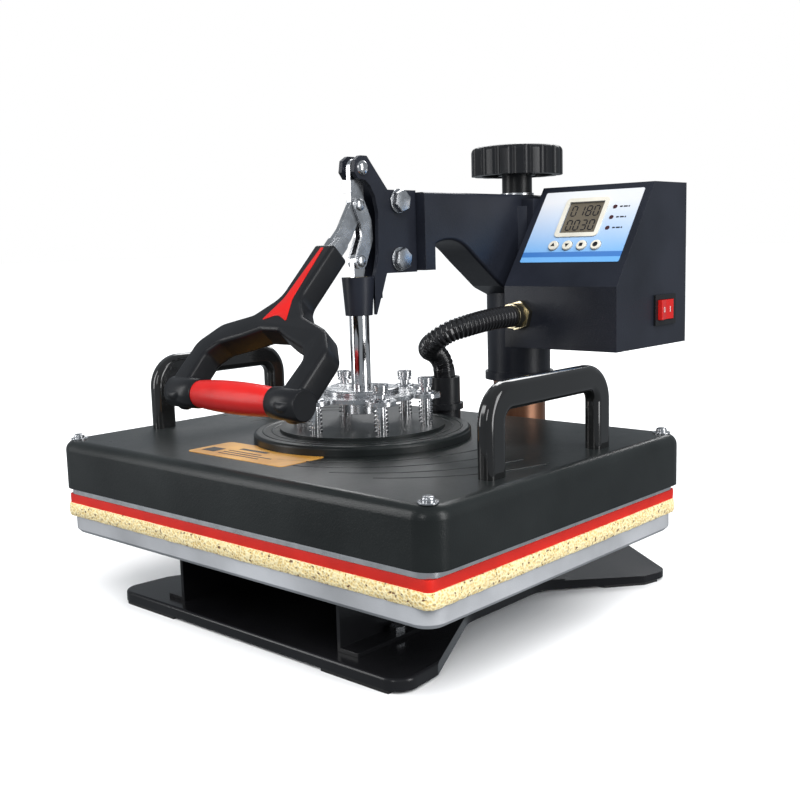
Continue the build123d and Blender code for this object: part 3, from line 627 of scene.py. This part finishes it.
# %% Stirrup
half_stirrup = [(10.3, 0, 3), (10.3, 52, 16), (26, 69, 12), (54, 79, 14), (69, 97, 14), (67.5, 147, 9),
                (48.5, 147, 7), (51.5, 106, 8), (44, 96.5, 8), (23, 89, 7), (9, 82.5, 6)]
outline = [v * mm for v in arcs(mirrored(half_stirrup), steps=7)]
bm = bmesh.new()
cut_plate(bm, outline, -moulding_half, moulding_half, handle_plane)
bmesh.ops.bevel(bm, **rounded(plate_rims(bm), 3.4 * mm, 4))
collar_profile = [(0, 39.5), (10.0, 39.5), (10.8, 40.3), (11.2, 50), (11.2, 67.6), (10.2, 68.8), (0, 68.8)]
for side in (-1, 1):
    centre = handle_plane @ Vector((0, grip_distance, 0))
    turned([(radius * mm, across * mm) for radius, across in collar_profile], centre, axis=(side, 0, 0),
           bm=bm)
tidy(bm)
stirrup = finished("handle_stirrup", bm, "handle", smooth=45)
dress(stirrup, "black_plastic")
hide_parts("handle_yoke")

# %% Red inlay with two points at the fork
half_inlay = [(1.4, 4, 0.7), (4.4, 54, 20), (13, 75, 0.8)]
points = half_inlay + [(0, 69, 10)] + [(-x, y, r) for x, y, r in reversed(half_inlay)]
bm = bmesh.new()
cut_plate(bm, [v * mm for v in arcs(points)], moulding_half - 0.9 * mm, moulding_half + 0.4 * mm,
          handle_plane)
bmesh.ops.bevel(bm, **rounded(plate_rims(bm), 0.25 * mm, 2))
inlay = finished("red_inlay", bm, "handle", smooth=50)
dress(inlay, "red_plastic")
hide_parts("handle_inlay")

# %% Barrel grip
grip_half, waist, crown = 40 * mm, 9.6 * mm, 11.5 * mm
profile = [(0, -grip_half), (waist - 1 * mm, -grip_half)]
for k in range(21):
    share = -1 + k / 10
    swell = (crown - waist) * (1 - abs(share) ** 2.4)
    profile.append((waist + swell, share * (grip_half - 0.6 * mm)))
profile += [(waist - 1 * mm, grip_half), (0, grip_half)]
bm = turned(profile, handle_plane @ Vector((0, grip_distance, 0)), axis=(1, 0, 0), steps=40)
tidy(bm)
grip = finished("barrel_grip", bm, "handle")
dress(grip, "red_plastic")
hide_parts("grip_tube")
print("handle made")

# %% [markdown]
# ## Sponge and silicone mat
# Under the heated plate lie a red silicone mat and, below it, a thicker yellow sponge. Neither has
# a machined edge: the sponge swells a little between the hard plates and its cut side is uneven.
# A rounded outline is drawn up in several levels, each a little wider or narrower, and its points
# are moved by a smooth noise.


# %% A soft slab
def soft_slab(name, node, corner, bulge, rough, slot):
    """Slab in the place of a CAD node, with a swollen and uneven side."""
    low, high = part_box(node)
    inset = bulge + rough
    x, y = (high.x - low.x) / 2 - inset, (high.y - low.y) / 2 - inset
    centre = (low + high) / 2
    corners = [(x, -y, corner), (x, y, corner), (-x, y, corner), (-x, -y, corner)]
    bm = bmesh.new()
    level = Matrix.Translation((centre.x, centre.y, low.z))
    face = bm.faces.new([bm.verts.new(level @ v.to_3d()) for v in arcs(corners, steps=8)])
    straight = [e for e in face.edges if e.calc_length() > corner * 2]
    bmesh.ops.subdivide_edges(bm, edges=straight, cuts=70, use_grid_fill=False)
    face = bm.faces[:][0]
    height = high.z - low.z
    faces = [face]
    rings = [(list(face.verts), 0.0)]
    for share in (0.1, 0.3, 0.5, 0.7, 0.9, 1.0):
        faces = bmesh.ops.extrude_discrete_faces(bm, faces=faces)["faces"]
        rise = (share - rings[-1][1]) * height
        bmesh.ops.translate(bm, vec=(0, 0, rise), verts=faces[0].verts)
        rings.append((list(faces[0].verts), share))
    for ring, share in rings:
        swell = math.sin(math.pi * share) ** 0.5 * bulge if 0 < share < 1 else 0
        for vert in ring:
            outwards = Vector((vert.co.x - centre.x, vert.co.y - centre.y, 0))
            square = Vector((round(outwards.x / x * 0.51), round(outwards.y / y * 0.51), 0))
            ragged = noise.noise(vert.co * 160) * rough + noise.noise(vert.co * 35) * rough * 0.6
            vert.co += (square.normalized() if square.length else outwards.normalized()) * (swell + ragged)
    bmesh.ops.recalc_face_normals(bm, faces=bm.faces)
    piece = finished(name, bm, "base", smooth=60)
    dress(piece, slot)
    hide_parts(node)


soft_slab("sponge_pad", "foam_pad", 6 * mm, 0.9 * mm, 0.55 * mm, "foam")
soft_slab("silicone_mat", "red_mat", 4 * mm, 0.25 * mm, 0.12 * mm, "red_silicone")
print("soft slabs made")

# %% [markdown]
# ## Ridges pressed in the cover
# The sheet-metal cover has low curved ridges that sweep out from the round plate, and the round
# plate has two low rings. Each ridge is part of a thin ring, spun from a small circle that lies
# mostly below the surface.

# %% Curved ridges and rings
cover_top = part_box("heat_cover")[1].z
step_top = 136.5 * mm
bm = bmesh.new()


def ridge(centre, radius, start, sweep, level, thick=1.3 * mm, proud=0.45 * mm):
    """Part of a thin ring that stands a little proud of a level surface."""
    middle = Matrix.Translation((*centre, level + proud - thick))
    begin = middle @ Matrix.Rotation(math.radians(start), 4, "Z")
    section = begin @ Matrix.Translation((radius, 0, 0)) @ Matrix.Rotation(math.pi / 2, 4, "X")
    rim = bmesh.ops.create_circle(bm, segments=14, radius=thick, matrix=section)["verts"]
    edges = list({e for v in rim for e in v.link_edges})
    bmesh.ops.spin(bm, geom=rim + edges, cent=begin.translation, axis=(0, 0, 1),
                   angle=math.radians(sweep), steps=max(8, round(sweep / 2)), use_duplicate=False)


for shift, radius, start, sweep in ((20, 118, -78, 74), (34, 128, -74, 68), (50, 136, -66, 58),
                                    (66, 142, -58, 50)):
    ridge((shift * mm - 30 * mm, head_centre.y + 14 * mm), radius * mm, start, sweep, cover_top)
    ridge((30 * mm - shift * mm, head_centre.y - 14 * mm), radius * mm, start + 180, sweep, cover_top)
for radius in (69.5, 76.5):
    ridge((0, head_centre.y), radius * mm, 0, 360, step_top)
tidy(bm)
dress(finished("cover_ridges", bm, "platen"), "cover_black")
print("ridges made")

# %% [markdown]
# ## Print on the control panel and the label
# The window shows two rows of figures made of seven strokes each. The strokes, the signs on the
# buttons and the marks beside the lamps are thin solid shapes laid on the panel's own sloping
# plane. They are plain signs and bars, with no lettering.

# %% The panel's plane: x to the right, y up the slope, z off the face
box_low, box_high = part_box("box_shell")
panel_foot, run = 238.6 * mm, 59.6 * mm
rise = box_high.z - panel_foot
steep = math.hypot(rise, run)
panel_plane = Matrix.Translation((box_low.x, box_low.y, panel_foot)) @ Matrix((
    (1, 0, 0, 0),
    (0, run / steep, -rise / steep, 0),
    (0, rise / steep, run / steep, 0),
    (0, 0, 0, 1)))
finishes["dark_print"] = moulded("dark_print", (0.012, 0.012, 0.016), 0.5)
finishes["white_print"] = moulded("white_print", (0.82, 0.82, 0.80), 0.5)


def marks(name, bm, body, finish):
    bmesh.ops.recalc_face_normals(bm, faces=bm.faces)
    piece = finished(name, bm, body, smooth=20)
    piece.data.materials.append(finishes[finish])
    return piece


# %% Figures in the window
strokes = {"a": (0, 1, 1), "b": (1, 0.5, 0), "c": (1, -0.5, 0), "d": (0, -1, 1), "e": (-1, -0.5, 0),
           "f": (-1, 0.5, 0), "g": (0, 0, 1)}
lit = {"0": "abcdef", "1": "bc", "3": "abcdg", "8": "abcdefg"}
figure_height, figure_width, stroke_width = 9.8 * mm, 4.4 * mm, 1.1 * mm
first_figure, figure_pitch = 41.2 * mm, 7.2 * mm
bm = bmesh.new()
for level, figures in ((75.2, "0180"), (60.8, "0030")):
    for column, figure in enumerate(figures):
        middle = Vector((first_figure + figure_pitch * column, level * mm, 0))
        for stroke in lit[figure]:
            across, up, flat = strokes[stroke]
            spot = middle + Vector((across * figure_width / 2, up * figure_height / 2, 0))
            size = Vector((figure_width - stroke_width, stroke_width) if flat
                          else (stroke_width, figure_height / 2 - stroke_width)) / 2
            block(bm, (spot.x - size.x, spot.y - size.y, -0.32 * mm),
                  (spot.x + size.x, spot.y + size.y, -0.16 * mm), panel_plane)
marks("window_figures", bm, "arm", "dark_print")

# %% Marks beside the lamps
lamp_levels, mark_spans = (56.5, 67.0, 77.5), ((84.5, 87.0), (88.0, 91.5), (92.3, 93.6))
bm = bmesh.new()
for level in lamp_levels:
    for start, end in mark_spans:
        block(bm, (start * mm, (level - 0.7) * mm, 0.5 * mm), (end * mm, (level + 0.7) * mm, 0.58 * mm),
              panel_plane)
marks("lamp_marks", bm, "arm", "dark_print")

# %% Signs on the buttons: up, down, square and round
button_row, sign_radius = 39.5 * mm, 2.3 * mm
signs = ((34.6, 3, 0), (48.2, 3, 180), (61.8, 4, 45), (75.4, 20, 0))
for number, (x, sides, angle) in enumerate(signs, 1):
    spin = Matrix.Rotation(math.radians(angle), 4, "Z")
    spot = panel_plane @ Matrix.Translation((x * mm, button_row, 0)) @ spin
    sign = [Vector((0, sign_radius)) @ Matrix.Rotation(2 * math.pi * k / sides, 2) for k in range(sides)]
    bm = bmesh.new()
    cut_plate(bm, sign, 2.15 * mm, 2.32 * mm, spot)
    marks(f"button_sign_{number}", bm, f"button_{number}", "dark_print")

# %% Marks on the rocker: a ring on one half and a bar on the other
rocker_centre, rocker_tilt, half_slope = Vector((136.5, 165.5, 216.5)) * mm, 7, 7.8
rocker_place = Matrix.Translation(rocker_centre) @ Matrix.Rotation(math.radians(rocker_tilt), 4, "Z")
bm = bmesh.new()
for side in (-1, 1):
    face = (rocker_place @ Matrix.Translation((3.76 * mm, side * 6.2 * mm, 0))
            @ Matrix.Rotation(math.radians(-side * half_slope), 4, "Z")
            @ Matrix.Rotation(math.pi / 2, 4, "Y"))
    if side > 0:
        block(bm, (-2.4 * mm, -0.45 * mm, -0.02 * mm), (2.4 * mm, 0.45 * mm, 0.12 * mm), face)
    else:
        turned([(1.5 * mm, 0), (2.3 * mm, 0), (2.3 * mm, 0.12 * mm), (1.5 * mm, 0.12 * mm), (1.5 * mm, 0)],
               face.translation, axis=face.to_3x3() @ Vector((0, 0, 1)), steps=28, bm=bm)
tidy(bm)
marks("rocker_marks", bm, "rocker", "white_print")

# %% Bars on the cover's label
label_low, label_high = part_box("cover_label")
bm = bmesh.new()
label_marks = ((6, 9, 14, 12), (26, 8, 44, 1.6), (26, 13, 52, 1.6), (26, 18, 36, 1.6), (30, 25, 30, 4))
for x, y, long, wide in label_marks:
    block(bm, (label_low.x + x * mm, label_low.y + y * mm, label_high.z - 0.02 * mm),
          (label_low.x + (x + long) * mm, label_low.y + (y + wide) * mm, label_high.z + 0.06 * mm))
marks("label_bars", bm, "platen", "dark_print")
print("print made")

# %% [markdown]
# ## Studio
# The press stands on a white, seamless floor under an even light, so that its shadow stays soft.
# Glossy black shows little but reflections, so the room it mirrors is dim: the floor is left out
# of reflections, and a few tall soft lights draw the bright lines on handles, bolts and plunger.

# %% Floor
bm = bmesh.new()
bmesh.ops.create_grid(bm, x_segments=1, y_segments=1, size=30)
floor = finished("floor", bm, None)
floor_finish = Finish("floor", Roughness=0.9)
speck = floor_finish.noise(3, 2)
floor_finish.feed(Base_Color=floor_finish.mix(speck * 0.2, (0.93, 0.93, 0.93), (0.90, 0.90, 0.91)))
floor.data.materials.append(floor_finish.material)
floor.visible_glossy = False
floor.visible_diffuse = False


# %% Lights
def soft_light(name, place, target, size, power):
    data = bpy.data.lights.new(name, "AREA")
    data.shape = "RECTANGLE"
    data.size, data.size_y = size
    data.energy = power
    lamp = bpy.data.objects.new(name, data)
    scene.collection.objects.link(lamp)
    look = (Vector(target) - Vector(place)).to_track_quat("-Z", "Y")
    lamp.matrix_world = Matrix.Translation(place) @ look.to_matrix().to_4x4()


soft_light("rear_top", (-0.9, 1.5, 1.5), (0, 0, 0.1), (1.8, 1.0), 26)
soft_light("right_strip", (1.6, 0.2, 0.6), (0, 0, 0.2), (0.6, 1.5), 15)
soft_light("front_left_strip", (-1.3, -1.5, 0.7), (0, 0, 0.2), (0.5, 1.6), 12)
soft_light("front_right_strip", (0.55, -2.1, 0.9), (0, 0, 0.2), (0.4, 1.0), 6)
day_data = bpy.data.lights.new("day", "SUN")
day_data.energy = 3.9
day_data.angle = math.radians(55)
day = bpy.data.objects.new("day", day_data)
day.visible_glossy = False
scene.collection.objects.link(day)
day.matrix_world = Vector((0.45, -0.35, 0.82)).to_track_quat("Z", "Y").to_matrix().to_4x4()

# %% Surroundings: a white backdrop for the camera, a dim room for the reflections
world = bpy.data.worlds.new("studio")
world.use_nodes = True
tree = world.node_tree
room = tree.nodes["Background"]
room.inputs["Color"].default_value = (0.86, 0.93, 1.0, 1)
room.inputs["Strength"].default_value = 0.30
backdrop = tree.nodes.new("ShaderNodeBackground")
backdrop.inputs["Color"].default_value = (1, 1, 1, 1)
backdrop.inputs["Strength"].default_value = 1.0
chosen = tree.nodes.new("ShaderNodeMixShader")
tree.links.new(tree.nodes.new("ShaderNodeLightPath").outputs["Is Camera Ray"], chosen.inputs[0])
tree.links.new(room.outputs[0], chosen.inputs[1])
tree.links.new(backdrop.outputs[0], chosen.inputs[2])
tree.links.new(chosen.outputs[0], tree.nodes["World Output"].inputs["Surface"])
scene.world = world
